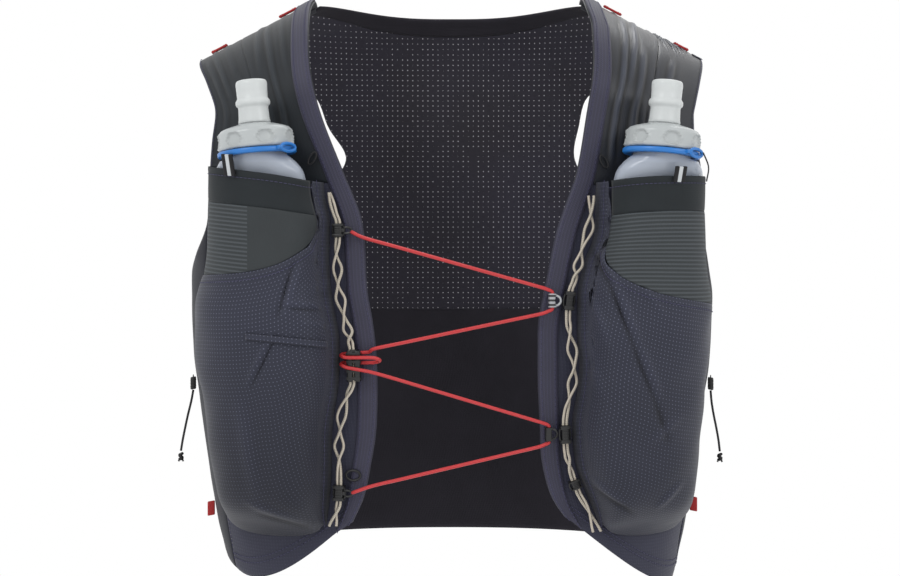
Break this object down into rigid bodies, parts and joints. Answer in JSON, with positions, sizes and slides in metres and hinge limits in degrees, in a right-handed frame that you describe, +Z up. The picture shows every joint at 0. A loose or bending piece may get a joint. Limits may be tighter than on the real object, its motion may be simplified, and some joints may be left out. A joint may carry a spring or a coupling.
{
  "type": "running hydration vest",
  "caption": "Sleeveless trail running vest as worn, mesh flask pockets with soft flasks on the chest and a red elastic lacing across the open front.",
  "frame": {"origin": "midway between the two shoulders, at the level where the vest's shoulder parts rest on a wearer's shoulders", "axes": "+Z up, the front of the vest faces -Y, +X to the right in the picture, which is the wearer's left"},
  "size_m": [0.3797, 0.2475, 0.4059],
  "materials": {
    "strap_cloth": "stretch woven, matt with a slight sheen",
    "panel_cloth": "ripstop, matt",
    "pocket_ripstop": "dotted ripstop, matt",
    "pocket_mesh": "ribbed open knit",
    "back_cloth": "perforated spacer mesh",
    "binding_cloth": "folded edge tape, stitched",
    "black_plastic": "moulded",
    "silver_plastic": "striped, glossy",
    "lace_cord": "braided elastic cord",
    "cream_cord": "braided cord",
    "black_cord": "braided cord",
    "red_tape": "woven tape",
    "black_tape": "woven tape",
    "blue_plastic": "moulded",
    "frosted_plastic": "frosted, slightly clear",
    "silicone": "frosted silicone",
    "flask_film": "clear flexible film"
  },
  "bodies": {
    "vest": {"shoulder_strap_l": "strap_cloth", "shoulder_strap_r": "strap_cloth", "front_panel_l": "panel_cloth", "front_panel_r": "panel_cloth", "pocket_welt_l": "panel_cloth", "back_mesh_panel": "back_cloth", "back_lower_panel": "back_cloth", "neck_binding": "back_cloth", "side_panel_l": "back_cloth", "side_panel_r": "back_cloth", "front_binding_l": "binding_cloth", "front_binding_r": "binding_cloth", "pocket_band_l": "pocket_mesh", "pocket_band_r": "pocket_mesh", "pocket_mesh_l": "pocket_mesh", "pocket_mesh_r": "pocket_mesh", "lower_pocket_l": "pocket_ripstop", "lower_pocket_r": "pocket_ripstop", "flask_l": "flask_film", "flask_r": "flask_film", "cap_ring_l": "blue_plastic", "cap_ring_r": "blue_plastic", "loop_tab_l": "black_tape", "loop_tab_r": "black_tape", "daisy_cord_l": "cream_cord", "daisy_cord_r": "cream_cord", "daisy_wave_l": "cream_cord", "daisy_wave_r": "cream_cord", "lace_cord": "lace_cord", "hook_upper_l": "black_plastic", "cord_lock_l": "black_plastic", "hook_lower_l": "black_plastic", "ring_lower_l": "black_plastic", "ring_upper_r": "black_plastic", "ring_lower_r": "black_plastic", "clip_r": "black_plastic", "side_toggle_l": "black_plastic", "side_toggle_r": "black_plastic", "glider_upper_r": "silver_plastic", "glider_lower_r": "silver_plastic", "shoulder_tab_a_l": "red_tape", "shoulder_tab_b_l": "red_tape", "shoulder_tab_a_r": "red_tape", "shoulder_tab_b_r": "red_tape", "side_tab_l": "red_tape", "side_tab_r": "red_tape", "pull_cord_l": "black_cord", "pull_cord_r": "black_cord", "cord_knot_l": "black_cord", "cord_knot_r": "black_cord"},
    "cap_l": {"flask_cap_l": "frosted_plastic", "bite_valve_l": "silicone"},
    "cap_r": {"flask_cap_r": "frosted_plastic", "bite_valve_r": "silicone"}
  },
  "joints": [
    {"name": "cap_turn_l", "type": "hinge", "parent": "vest", "child": "cap_l", "pos_m": [-0.12946, -0.11214, -0.08558], "axis": [-0.0864, 0.0532, 0.9948], "range_deg": [0, 540]},
    {"name": "cap_turn_r", "type": "hinge", "parent": "vest", "child": "cap_r", "pos_m": [0.13944, -0.10816, -0.08558], "axis": [0.0836, 0.0574, 0.9948], "range_deg": [0, 540]}
  ]
}
